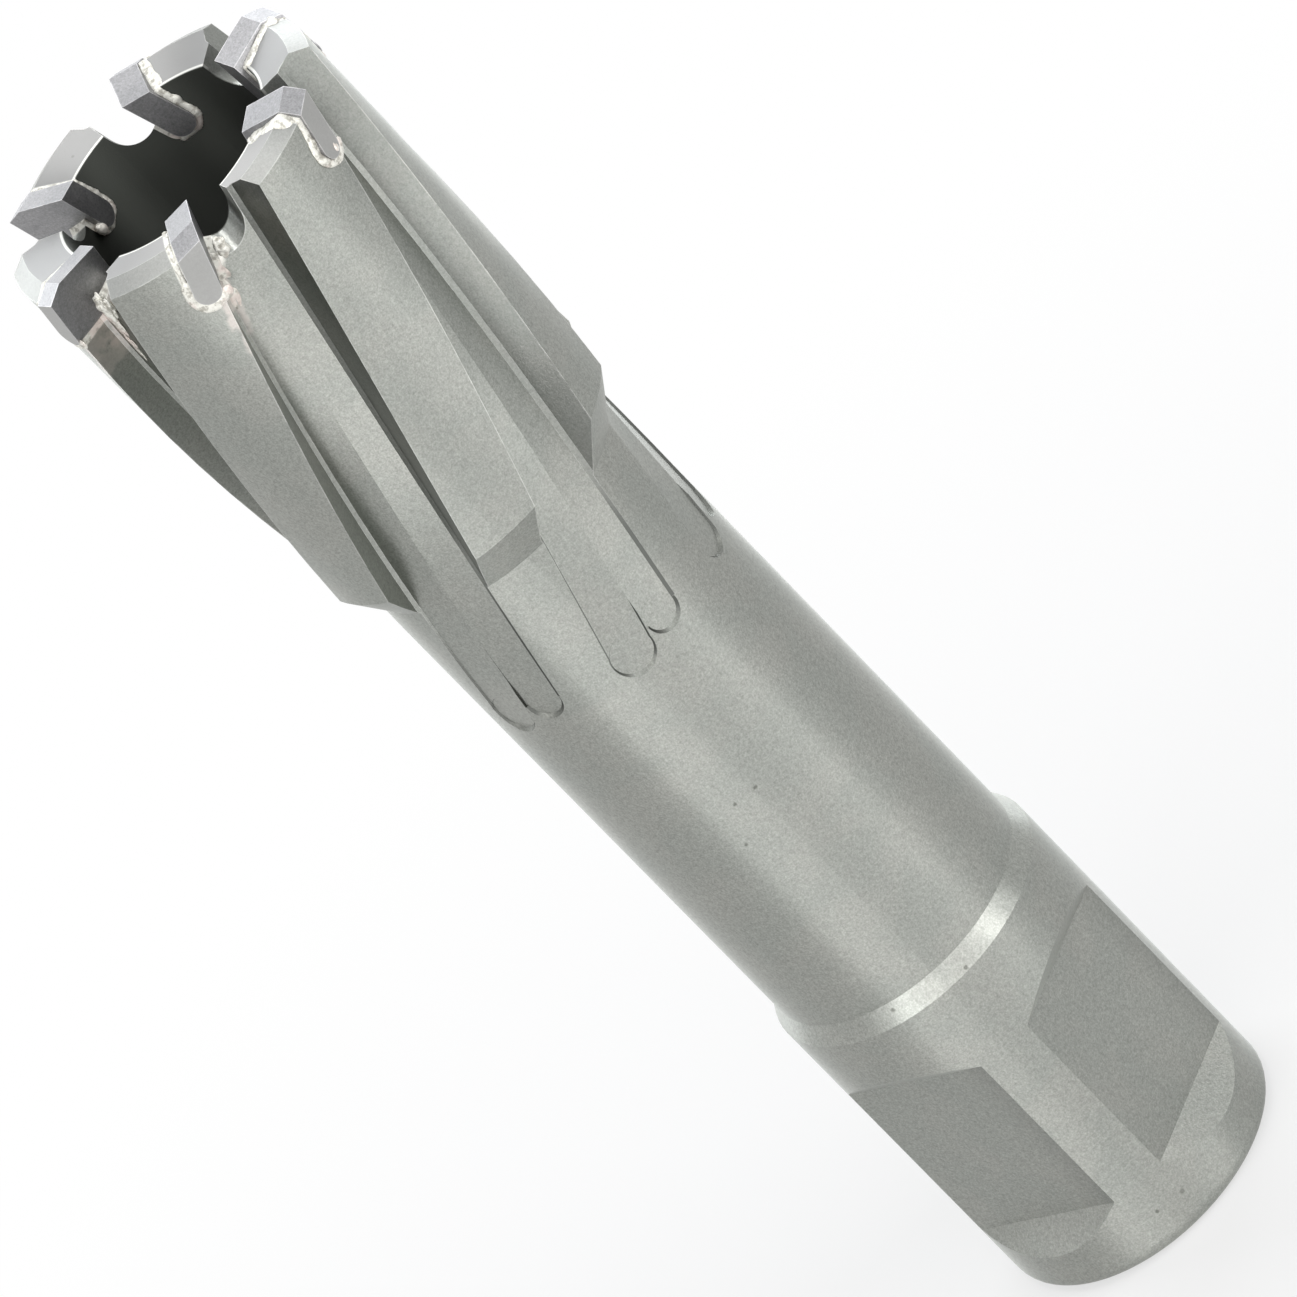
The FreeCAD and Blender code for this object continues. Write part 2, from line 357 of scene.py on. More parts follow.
def ring_faces(first: int, rings: int, count: int) -> list[Face]:
    """Join rings of points that follow each other with four-sided faces.

    Args:
        first: Number of the first ring's first point.
        rings: How many rings there are.
        count: How many points each ring has.

    Returns:
        The faces as tuples of point numbers.
    """
    steps = np.arange(count)
    following = (steps + 1) % count
    faces: list[Face] = []
    for ring in range(rings - 1):
        low = first + ring * count
        high = low + count
        quads = np.stack([low + steps, high + steps, high + following, low + following], axis=-1)
        faces.extend(map(tuple, quads.tolist()))
    return faces


def surface_object(name: str, points: Array, faces: Sequence[Face],
                   material: bpy.types.Material) -> bpy.types.Object:
    """Make a mesh object at the origin from points in millimetres.

    Args:
        name: Name of the piece.
        points: Array of x, y and z, one row for each point.
        faces: Tuples of point numbers.
        material: Finish of the piece.

    Returns:
        The new object.
    """
    mesh = bpy.data.meshes.new(name)
    mesh.from_pydata((points * MM).tolist(), [], list(faces))
    mesh.polygons.foreach_set("use_smooth", np.ones(len(mesh.polygons), dtype=bool))
    mesh.materials.append(material)
    mesh.update()
    item = bpy.data.objects.new(name, mesh)
    bpy.context.scene.collection.objects.link(item)
    return item


SEED = 40
ROPE_GRID = (72, 16)
DRIFT_PITCH = 2.5
DRIFT_SHARE = 0.12
RISE_SHARE = 1.6
TAPER_SHARE = 0.6
UNDERSIDE = 0.7
RIPPLE = 0.12
DROP_GRID = (26, 32)
DROP_WAVES = 7
DROP_WAVINESS = 3.2
LAST_WAVE_START = 6.28


@dataclass(frozen=True)
class Bead:
    """A stretch of filler metal: a flat lumpy rope that lies along a seam."""

    side: Side
    start: float
    end: float
    width: float
    height: float
    lumps: float = 0.25
    pitch: float = 0.45
    shift: float = 0.0

    def rope(self, tooth: Tooth, noise: np.random.Generator) -> Shape:
        """Work out the rope.

        A half round profile is carried along the seam. Its width and height swell and shrink
        with a smooth random wave, and both ends close to a point along a quarter ellipse.

        Args:
            tooth: The tooth whose seam it lies on.
            noise: Source of random numbers.

        Returns:
            The rope's points and faces.
        """
        rows, columns = ROPE_GRID
        steps = np.linspace(0.0, 1.0, rows)
        points, normals = tooth.seam(self.side, steps, self.start, self.end)
        tangents = np.gradient(points, axis=0)
        tangents /= np.linalg.norm(tangents, axis=1, keepdims=True)
        across = np.cross(tangents, normals)
        across /= np.linalg.norm(across, axis=1, keepdims=True)
        length = float(np.linalg.norm(np.diff(points, axis=0), axis=1).sum())
        distance = steps * length
        swell = smooth_wave(distance, self.pitch, noise)
        drift = smooth_wave(distance, self.pitch * DRIFT_PITCH, noise)
        close = end_taper(distance, length, self.width * TAPER_SHARE)
        width = self.width / 2 * (1 + self.lumps * swell) * close
        rise = smooth_wave(distance, self.pitch, noise)
        height = self.height * (1 + RISE_SHARE * self.lumps * rise) * close
        centre = points + across * (self.shift + DRIFT_SHARE * self.width * drift)[:, None]
        angle = np.linspace(0.0, 2 * math.pi, columns, endpoint=False)
        lift = np.where(np.sin(angle) > 0, np.sin(angle), UNDERSIDE * np.sin(angle))
        ripple = 1 + RIPPLE * self.lumps * noise.standard_normal((rows, columns))
        grid = (centre[:, None, :]
                + across[:, None, :] * (width[:, None] * np.cos(angle) * ripple)[..., None]
                + normals[:, None, :] * (height[:, None] * lift * ripple)[..., None])
        return closed_rope(grid)


def smooth_wave(distance: Array, pitch: float, noise: np.random.Generator) -> Array:
    """Work out a random curve between -1 and 1 that changes over a given distance.

    Random values stand one pitch apart, and a smooth step leads from each to the next.

    Args:
        distance: Places along the curve, from 0 up.
        pitch: Distance between the random values.
        noise: Source of random numbers.

    Returns:
        The curve at each place.
    """
    knots = np.arange(-1, int(distance[-1] / pitch) + 3) * pitch
    values = noise.uniform(-1.0, 1.0, len(knots))
    place = np.clip((distance - knots[0]) / pitch, 0, len(knots) - 1.001)
    low = place.astype(int)
    part = place - low
    part = part * part * (3 - 2 * part)
    return values[low] * (1 - part) + values[low + 1] * part


def end_taper(distance: Array, length: float, reach: float) -> Array:
    """Return 1 along a rope and a quarter ellipse down to 0 at its two ends."""
    near = np.clip(np.minimum(distance, length - distance) / reach, 0.0, 1.0)
    return np.sqrt(np.maximum(1 - (1 - near) ** 2, 0.0))


def closed_rope(grid: Array) -> Shape:
    """Close a rope's grid at both ends.

    Args:
        grid: Points by ring and place on the ring. The first and last rings become one point.

    Returns:
        The rope's points and faces.
    """
    rows, columns = grid.shape[:2]
    body = grid[1:-1].reshape(-1, 3)
    first, last = grid[0].mean(axis=0), grid[-1].mean(axis=0)
    points = np.vstack([first, body, last])
    faces = [tuple(reversed(face)) for face in ring_faces(1, rows - 2, columns)]
    faces += [tuple(reversed(face)) for face in fan(0, 1, columns)][::-1]
    faces += fan(len(points) - 1, 1 + (rows - 3) * columns, columns)
    return points, faces


@dataclass(frozen=True)
class Drop:
    """A drop or smear of filler metal that froze on the steel.

    Its place is a radius, a turn and a height, and its size is three half widths: outwards,
    round the axis and along the axis, which leans by an angle to follow a flute.
    """

    radius: float
    turn: float
    height: float
    size: Triple
    lean: float = 0.0
    lumps: float = 0.16

    def shape(self, noise: np.random.Generator) -> Shape:
        """Work out the drop.

        A unit ball on a grid of turns and slopes is swollen by a few smooth waves of random
        direction, stretched to the three half widths and set in its place.

        Args:
            noise: Source of random numbers.

        Returns:
            The drop's points and faces.
        """
        rows, columns = DROP_GRID
        slope = np.linspace(0.0, math.pi, rows)[:, None]
        turn = np.linspace(0.0, 2 * math.pi, columns, endpoint=False)[None, :]
        ball = np.stack([np.sin(slope) * np.cos(turn), np.sin(slope) * np.sin(turn),
                         np.cos(slope) + 0 * turn], axis=-1)
        swell = np.ones((rows, columns))
        for _ in range(DROP_WAVES):
            wave = noise.normal(0.0, DROP_WAVINESS, 3)
            swell += self.lumps / 2 * np.sin(ball @ wave + noise.uniform(0.0, LAST_WAVE_START))
        ball = ball * swell[..., None] * np.array(self.size)
        lean = math.radians(self.lean)
        across = ball[..., 1] * math.cos(lean) + ball[..., 2] * math.sin(lean)
        up = ball[..., 2] * math.cos(lean) - ball[..., 1] * math.sin(lean)
        angle = math.radians(self.turn) + across / self.radius
        out = self.radius + ball[..., 0]
        grid = np.stack([out * np.cos(angle), out * np.sin(angle), self.height + up], axis=-1)
        return closed_rope(grid)


@dataclass(frozen=True)
class BrazeWork:
    """The rough filler metal that ran out of one tooth's joint."""

    tooth: Tooth
    beads: tuple[Bead, ...]
    drops: tuple[Drop, ...] = ()

    def build(self, material: bpy.types.Material) -> bpy.types.Object:
        """Make all of the tooth's beads and drops as one piece.

        Args:
            material: Finish of the filler metal.

        Returns:
            The new piece.
        """
        noise = np.random.default_rng(SEED + self.tooth.index)
        points: list[Array] = []
        faces: list[Face] = []
        parts = [bead.rope(self.tooth, noise) for bead in self.beads]
        parts += [drop.shape(noise) for drop in self.drops]
        for part_points, part_faces in parts:
            base = sum(len(part) for part in points)
            points.append(part_points)
            faces += [tuple(base + corner for corner in face) for face in part_faces]
        name = f"braze_run_{self.tooth.index + 1}"
        piece = surface_object(name, np.vstack(points), faces, material)
        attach(piece, "root")
        return piece


# Places along a seam, as in Tooth.flank: the front's lowest place is near 0, and the rim of the
# steel is 2.5 mm above the middle of the round bottom.
RIM = math.pi + 2.5


def outside_bead(low: float, low_width: float, back_width: float) -> tuple[Bead, ...]:
    """Return the two outside beads: a thick one round the bottom and a thinner one up the back.

    Args:
        low: Where the thick one starts, as in Tooth.flank.
        low_width: Width of the thick one.
        back_width: Width of the thinner one.

    Returns:
        The two beads.
    """
    return (
        Bead(Side.OUTSIDE, low, math.pi + 1.1, low_width, 0.15),
        Bead(Side.OUTSIDE, math.pi + 0.7, math.pi + 2.45, back_width, 0.08, pitch=0.8),
    )


def braze_works() -> tuple[BrazeWork, ...]:
    """Return the filler metal of all six teeth, each as rough as the one in the photograph."""
    return (
        BrazeWork(Tooth(0), outside_bead(0.1, 0.72, 0.34) + (
            Bead(Side.TOP, 10.75, 7.35, 0.30, 0.05, pitch=0.9),
            Bead(Side.BORE, 0.3, RIM, 0.42, 0.10),
        ), (
            Drop(8.85, -0.3, 91.7, (0.30, 0.42, 0.62), 10.0),
            Drop(8.70, -7.6, 90.6, (0.10, 0.50, 1.10), 14.0),
            Drop(8.70, -11.0, 88.6, (0.07, 0.42, 1.50), 14.0),
        )),
        BrazeWork(Tooth(1), outside_bead(0.0, 0.62, 0.50) + (
            Bead(Side.TOP, 10.7, 7.2, 1.0, 0.13, 0.35, 0.5, -0.22),
            Bead(Side.BORE, 0.3, RIM, 0.55, 0.12),
        ), (
            Drop(10.92, 49.6, 90.6, (0.22, 0.26, 0.38), 20.0),
        )),
        BrazeWork(Tooth(2), outside_bead(0.2, 0.55, 0.55) + (
            Bead(Side.TOP, 10.5, 7.2, 0.65, 0.10, 0.4, 0.5, -0.1),
            Bead(Side.BORE, 0.3, RIM, 0.60, 0.14),
        ), (
            Drop(10.1, 107.9, 94.0, (0.42, 0.5, 0.26), 0.0),
        )),
        BrazeWork(Tooth(3), outside_bead(0.3, 0.6, 0.55) + (
            Bead(Side.TOP, 10.3, 7.2, 0.75, 0.10, 0.3, 0.6, -0.15),
            Bead(Side.BORE, 0.3, RIM, 0.80, 0.13, 0.3, 0.5, -0.12),
        )),
        BrazeWork(Tooth(4), outside_bead(0.3, 0.6, 0.5) + (
            Bead(Side.TOP, 10.4, 7.3, 0.34, 0.05, 0.25, 0.8),
            Bead(Side.BORE, 0.2, RIM, 0.48, 0.14, 0.5, 0.4),
        ), (
            Drop(6.95, 234.0, 90.9, (0.34, 0.36, 0.46), 20.0, 0.08),
        )),
        BrazeWork(Tooth(5), outside_bead(0.2, 0.6, 0.45) + (
            Bead(Side.TOP, 10.8, 7.2, 0.5, 0.10),
            Bead(Side.BORE, 0.3, RIM, 0.50, 0.10),
        ), (
            Drop(8.90, -59.5, 91.5, (0.32, 0.60, 0.95), 12.0),
            Drop(8.72, -66.5, 89.9, (0.10, 0.55, 1.40), 14.0),
            Drop(8.70, -71.0, 87.6, (0.06, 0.38, 1.30), 14.0),
        )),
    )


class Wiring:
    """A node tree with short calls for the nodes that the finishes use."""

    def __init__(self, tree: bpy.types.NodeTree) -> None:
        """Keep the tree and empty it."""
        self.tree = tree
        tree.nodes.clear()

    def add(self, kind: str, **settings: Any) -> bpy.types.Node:
        """Add a node and set its properties.

        Args:
            kind: Blender's name for the kind of node.
            settings: The node's properties by name.

        Returns:
            The new node.
        """
        node = self.tree.nodes.new(kind)
        for name, value in settings.items():
            setattr(node, name, value)
        return node

    def feed(self, socket: bpy.types.NodeSocket, value: Any) -> None:
        """Link a socket to another, or set its plain value.

        Args:
            socket: The socket that takes the value.
            value: An output socket, a number, a vector or a colour.
        """
        if isinstance(value, bpy.types.NodeSocket):
            self.tree.links.new(value, socket)
        elif isinstance(value, tuple) and len(value) == 3 and socket.type == "RGBA":
            socket.default_value = (*value, 1.0)
        else:
            socket.default_value = value

    def math(self, operation: str, *values: Any, clamp: bool = False) -> bpy.types.NodeSocket:
        """Add a Math node.

        Args:
            operation: What it works out.
            values: Its inputs in order, sockets or numbers.
            clamp: Whether the result stays between 0 and 1.

        Returns:
            The socket of its result.
        """
        node = self.add("ShaderNodeMath", operation=operation, use_clamp=clamp)
        for socket, value in zip(node.inputs, values):
            self.feed(socket, value)
        return node.outputs[0]

    def vector(self, operation: str, *values: Any) -> bpy.types.NodeSocket:
        """Add a Vector Math node.

        Args:
            operation: What it works out.
            values: Its inputs in order, sockets or vectors.

        Returns:
            The socket of the vector or number that it gives.
        """
        node = self.add("ShaderNodeVectorMath", operation=operation)
        for socket, value in zip(node.inputs, values):
            self.feed(socket, value)
        return node.outputs["Value" if operation in ("DOT_PRODUCT", "LENGTH") else "Vector"]

    def step(self, value: Any, low: float, high: float) -> bpy.types.NodeSocket:
        """Add a smooth step from 0 to 1.

        Args:
            value: What is stepped.
            low: Where the step is 0.
            high: Where it is 1, which may be below low.

        Returns:
            The socket of the step.
        """
        node = self.add("ShaderNodeMapRange", interpolation_type="SMOOTHSTEP")
        turned = high < low
        self.feed(node.inputs["Value"], value)
        self.feed(node.inputs["From Min"], high if turned else low)
        self.feed(node.inputs["From Max"], low if turned else high)
        self.feed(node.inputs["To Min"], 1.0 if turned else 0.0)
        self.feed(node.inputs["To Max"], 0.0 if turned else 1.0)
        return node.outputs["Result"]

    def mix(self, share: Any, first: Any, second: Any, blend: str = "MIX") -> bpy.types.NodeSocket:
        """Mix two colours.

        Args:
            share: Share of the second colour.
            first: One colour.
            second: The other colour.
            blend: How they are mixed.

        Returns:
            The socket of the mixed colour.
        """
        node = self.add("ShaderNodeMix", data_type="RGBA", blend_type=blend)
        self.feed(node.inputs[0], share)
        self.feed(node.inputs[6], first)
        self.feed(node.inputs[7], second)
        return node.outputs[2]

    def seen_rays(self) -> bpy.types.NodeSocket:
        """Tell the rays that show a white background from those that light the part.

        Returns:
            A socket that is 1 for rays from the camera, glossy ones and refracted ones.
        """
        rays = self.add("ShaderNodeLightPath").outputs
        mirrored = self.math("ADD", rays["Is Glossy Ray"], rays["Is Transmission Ray"])
        return self.math("ADD", mirrored, rays["Is Camera Ray"], clamp=True)

    def noise(self, place: Any, scale: float, detail: float = 2.0, rough: float = 0.5,
              warp: float = 0.0) -> bpy.types.NodeSocket:
        """Add a Noise Texture.

        Args:
            place: Socket of the place in metres.
            scale: How many waves there are in a metre.
            detail: How many finer waves are added.
            rough: How strong the finer waves are.
            warp: How much the pattern is bent.

        Returns:
            The socket of the noise, between 0 and 1.
        """
        node = self.add("ShaderNodeTexNoise")
        self.feed(node.inputs["Vector"], place)
        self.feed(node.inputs["Scale"], scale)
        self.feed(node.inputs["Detail"], detail)
        self.feed(node.inputs["Roughness"], rough)
        self.feed(node.inputs["Distortion"], warp)
        return node.outputs["Fac"]


class EffectGroup:
    """A shared effect: a shader node group with named sockets."""

    def __init__(self, name: str, inputs: Sequence[tuple[str, str, Any]],
                 outputs: Sequence[tuple[str, str]]) -> None:
        """Make the group and its sockets.

        Args:
            name: Name of the group.
            inputs: Name, kind and plain value of each input.
            outputs: Name and kind of each output.
        """
        self.tree = bpy.data.node_groups.new(name, "ShaderNodeTree")
        self.wiring = Wiring(self.tree)
        for title, kind, value in inputs:
            socket = self.tree.interface.new_socket(title, in_out="INPUT", socket_type=kind)
            if value is not None:
                socket.default_value = value
        for title, kind in outputs:
            self.tree.interface.new_socket(title, in_out="OUTPUT", socket_type=kind)
        self.entry = self.wiring.add("NodeGroupInput")
        self.exit = self.wiring.add("NodeGroupOutput")

    def give(self, title: str, value: Any) -> None:
        """Send a value out of the group."""
        self.wiring.feed(self.exit.inputs[title], value)

    def place(self, wiring: Wiring, **values: Any) -> bpy.types.Node:
        """Place the group in a material.

        Args:
            wiring: The material's nodes.
            values: The group's inputs by name, with _ for a space.

        Returns:
            The node that holds the group.
        """
        node = wiring.add("ShaderNodeGroup", node_tree=self.tree)
        for title, value in values.items():
            wiring.feed(node.inputs[title.replace("_", " ")], value)
        return node


@dataclass(frozen=True)
class Speck:
    """A dark spot on the steel: its radius and height in millimetres and its turn in degrees."""

    radius: float
    turn: float
    height: float

    def place(self) -> Triple:
        """Work out where the spot is.

        Returns:
            The spot's centre in metres.
        """
        turn = math.radians(self.turn)
        across, aside = self.radius * math.cos(turn), self.radius * math.sin(turn)
        return (across * MM, aside * MM, self.height * MM)


@dataclass(frozen=True)
class Smear:
    """A thin film of flux and filler on the steel.

    Its centre and half sizes are in degrees round the axis and millimetres along it, and it leans
    by a number of degrees for each millimetre.
    """

    turn: float
    height: float
    half_turn: float
    half_height: float
    lean: float
    strength: float
    colour: Colour


SPECKLE = (1.3, 0.35)
SMEAR_NOISE = 1100.0
SPECKS = (
    Speck(9.52, -2.1, 2.8), Speck(9.42, 9.9, 23.8), Speck(9.52, 18.9, 14.2),
    Speck(9.1, -21.1, 24.4), Speck(8.89, -9.1, 42.0), Speck(8.89, -17.1, 39.3),
    Speck(8.89, 0.9, 42.0),
)
CREAM = (0.82, 0.80, 0.74)
PINK = (0.60, 0.55, 0.515)
SMEARS = (
    Smear(-66.5, 90.0, 5.5, 2.4, 3.4, 0.6, PINK), Smear(-61.0, 91.3, 4.5, 1.5, 3.4, 0.9, CREAM),
    Smear(-73.0, 88.0, 3.0, 1.8, 3.4, 0.4, PINK),
    Smear(-9.5, 89.6, 3.6, 2.2, 2.0, 0.65, PINK), Smear(-12.5, 87.3, 2.5, 1.8, 2.0, 0.5, PINK),
    Smear(-4.5, 91.4, 4.5, 1.1, 2.0, 0.85, CREAM),
)


class Effects:
    """The effects that the finishes share, each built once."""

    def __init__(self) -> None:
        """Build the effects."""
        self.place_on_part = self.build_place()
        self.edge_shine = self.build_edge_shine()
        self.grain = self.build_grain()
        self.speck = self.build_speck()
        self.smear = self.build_smear()

    @staticmethod
    def build_place() -> EffectGroup:
        """Make the effect that tells where a point is on the part and which way its surface faces.

        It gives the radius and height in millimetres, the turn in degrees, and how far the
        surface faces out from the axis, round it and up.
        
        Returns:
            The group.
        """
        group = EffectGroup("place_on_part", (), (
            ("Place", VECTOR), ("Radius", NUMBER), ("Turn", NUMBER), ("Height", NUMBER),
            ("Facing Out", NUMBER), ("Facing Round", NUMBER), ("Facing Up", NUMBER)))
        wiring = group.wiring
        coordinates = wiring.add("ShaderNodeTexCoord")
        place = coordinates.outputs["Object"]
        parts = wiring.add("ShaderNodeSeparateXYZ")
        wiring.feed(parts.inputs[0], place)
        x, y, z = parts.outputs
        flat = wiring.add("ShaderNodeCombineXYZ")
        wiring.feed(flat.inputs[0], x)
        wiring.feed(flat.inputs[1], y)
        turned = wiring.add("ShaderNodeCombineXYZ")
        wiring.feed(turned.inputs[0], wiring.math("MULTIPLY", y, -1.0))
        wiring.feed(turned.inputs[1], x)
        outward = wiring.vector("NORMALIZE", flat.outputs[0])
        round_way = wiring.vector("NORMALIZE", turned.outputs[0])
        radius = wiring.vector("LENGTH", flat.outputs[0])
        normal = coordinates.outputs["Normal"]
        up = wiring.add("ShaderNodeSeparateXYZ")
        wiring.feed(up.inputs[0], normal)
        group.give("Place", place)
        group.give("Radius", wiring.math("MULTIPLY", radius, 1.0 / MM))
        group.give("Turn", wiring.math("DEGREES", wiring.math("ARCTAN2", y, x)))
        group.give("Height", wiring.math("MULTIPLY", z, 1.0 / MM))
        group.give("Facing Out", wiring.vector("DOT_PRODUCT", normal, outward))
        group.give("Facing Round", wiring.vector("DOT_PRODUCT", normal, round_way))
        group.give("Facing Up", up.outputs[2])
        return group

    @staticmethod
    def build_edge_shine() -> EffectGroup:
        """Make the effect of a narrow painted highlight along sharp edges, broken up by noise.

        Returns:
            The group.
        """
        group = EffectGroup("edge_shine", (("Width", NUMBER, 0.0002), ("Place", VECTOR, None)),
                            (("Mask", NUMBER),))
        wiring = group.wiring
        bevel = wiring.add("ShaderNodeBevel", samples=8)
        wiring.feed(bevel.inputs["Radius"], group.entry.outputs["Width"])
        geometry = wiring.add("ShaderNodeNewGeometry")
        aligned = wiring.vector("DOT_PRODUCT", bevel.outputs[0], geometry.outputs["Normal"])
        edge = wiring.step(aligned, 0.995, 0.93)
        highlight_breakup = wiring.noise(group.entry.outputs["Place"], 900.0, 3.0)
        group.give("Mask", wiring.math("MULTIPLY", edge, wiring.step(highlight_breakup, 0.25, 0.6)))
        return group

    @staticmethod
    def build_grain() -> EffectGroup:
        """Make the effect that gives fine blasted grain, soft blotches and small pits.

        Returns:
            The group.
        """
        group = EffectGroup("steel_grain", (("Place", VECTOR, None),),
                            (("Grain", NUMBER), ("Blotch", NUMBER), ("Pits", NUMBER)))
        wiring = group.wiring
        place = group.entry.outputs["Place"]
        fine = wiring.noise(place, 9000.0, 2.0, 0.6)
        coarse = wiring.math("MULTIPLY", wiring.noise(place, 4200.0, 2.0, 0.6), 0.4)
        group.give("Grain", wiring.math("MULTIPLY_ADD", fine, 0.6, coarse))
        group.give("Blotch", wiring.noise(place, 220.0, 3.0, 0.55, 0.4))
        cells = wiring.add("ShaderNodeTexVoronoi", feature="F1")
        wiring.feed(cells.inputs["Vector"], place)
        wiring.feed(cells.inputs["Scale"], 420.0)
        chosen = wiring.add("ShaderNodeSeparateColor")
        wiring.feed(chosen.inputs[0], cells.outputs["Color"])
        rare = wiring.step(chosen.outputs[0], 0.93, 0.96)
        dot = wiring.step(cells.outputs["Distance"], 0.09, 0.04)
        group.give("Pits", wiring.math("MULTIPLY", rare, dot))
        return group

    @staticmethod
    def build_speck() -> EffectGroup:
        """Make the effect that marks a small ragged spot round a centre.

        Returns:
            The group.
        """
        group = EffectGroup("dark_speck", (("Place", VECTOR, None), ("Centre", VECTOR, None)),
                            (("Mask", NUMBER),))
        wiring = group.wiring
        place = group.entry.outputs["Place"]
        offset = wiring.vector("SUBTRACT", place, group.entry.outputs["Centre"])
        away = wiring.vector("LENGTH", offset)
        ragged = wiring.math("MULTIPLY_ADD", wiring.noise(place, 5000.0, 2.0), 0.00016, away)
        group.give("Mask", wiring.step(ragged, 0.00026, 0.00014))
        return group

    @staticmethod
    def build_smear() -> EffectGroup:
        """Make the effect that marks a ragged oval smear which leans with the flutes.

        The distance from the smear's centre is measured in half sizes, and noise is added to it.
        
        Returns:
            The group.
        """
        titles = ("Turn", "Height", "Ragged", "Centre Turn", "Centre Height", "Half Turn",
                  "Half Height", "Lean")
        group = EffectGroup("flux_smear", tuple((title, NUMBER, 0.0) for title in titles),
                            (("Mask", NUMBER),))
        wiring = group.wiring
        given = group.entry.outputs
        up = wiring.math("SUBTRACT", given["Height"], given["Centre Height"])
        aside = wiring.math("SUBTRACT", given["Turn"], given["Centre Turn"])
        aside = wiring.math("SUBTRACT", aside, wiring.math("MULTIPLY", up, given["Lean"]))
        squares = []
        for offset, half in ((aside, given["Half Turn"]), (up, given["Half Height"])):
            share = wiring.math("ABSOLUTE", wiring.math("DIVIDE", offset, half))
            squares.append(wiring.math("POWER", share, 2.0))
        away = wiring.math("SQRT", wiring.math("ADD", *squares))
        broken = wiring.math("MULTIPLY_ADD", given["Ragged"], 1.6, away)
        group.give("Mask", wiring.step(broken, 1.75, 1.25))
        return group


@dataclass(frozen=True)
class Coat:
    """A colour laid over another, and how much of it covers."""

    colour: Colour
    strength: float


@dataclass(frozen=True)
class Finish:
    """What all finishes share: a material with one Principled BSDF, and steps to dress it."""

    effects: Effects
    name: str

    def start(self) -> tuple[bpy.types.Material, Wiring, bpy.types.Node]:
        """Make the material and its shader.

        Returns:
            The new material, its wiring and its shader node.
        """
        material = bpy.data.materials.new(self.name)
        material.use_nodes = True
        wiring = Wiring(material.node_tree)
        shader = wiring.add("ShaderNodeBsdfPrincipled")
        output = wiring.add("ShaderNodeOutputMaterial")
        wiring.feed(output.inputs["Surface"], shader.outputs[0])
        return material, wiring, shader

    @staticmethod
    def bump(wiring: Wiring, shader: bpy.types.Node, height: bpy.types.NodeSocket,
             strength: float, depth: float) -> None:
        """Feed a height to the shader's normal through a Bump node.

        Args:
            wiring: The material's nodes.
            shader: The shader node.
            height: The height, from 0 to 1.
            strength: Strength of the bump.
            depth: Depth of the bump in metres.
        """
        bump = wiring.add("ShaderNodeBump")
        bump.inputs["Strength"].default_value = strength
        bump.inputs["Distance"].default_value = depth
        wiring.feed(bump.inputs["Height"], height)
        wiring.feed(shader.inputs["Normal"], bump.outputs[0])

    @staticmethod
    def speckled(wiring: Wiring, grain: bpy.types.Node, blotches: Band,
                 first: Colour, second: Colour) -> bpy.types.NodeSocket:
        """Mix two colours by blotches and make them lighter and darker by grain.

        Args:
            wiring: The material's nodes.
            grain: The placed grain effect.
            blotches: Where the soft step from the first colour to the second starts and ends.
            first: One colour.
            second: The other colour.

        Returns:
            The mixed tone.
        """
        plain = wiring.mix(wiring.step(grain.outputs["Blotch"], *blotches), first, second)
        speckle = wiring.math("MULTIPLY_ADD", grain.outputs["Grain"], *SPECKLE)
        grey = wiring.add("ShaderNodeCombineColor")
        for socket in grey.inputs:
            wiring.feed(socket, speckle)
        return wiring.mix(1.0, plain, grey.outputs[0], "MULTIPLY")

    @staticmethod
    def tint(wiring: Wiring, tone: bpy.types.NodeSocket, mask: bpy.types.NodeSocket,
             coat: Coat) -> bpy.types.NodeSocket:
        """Return a tone with a coat laid over it where a mask is set."""
        return wiring.mix(wiring.math("MULTIPLY", mask, coat.strength), tone, coat.colour)


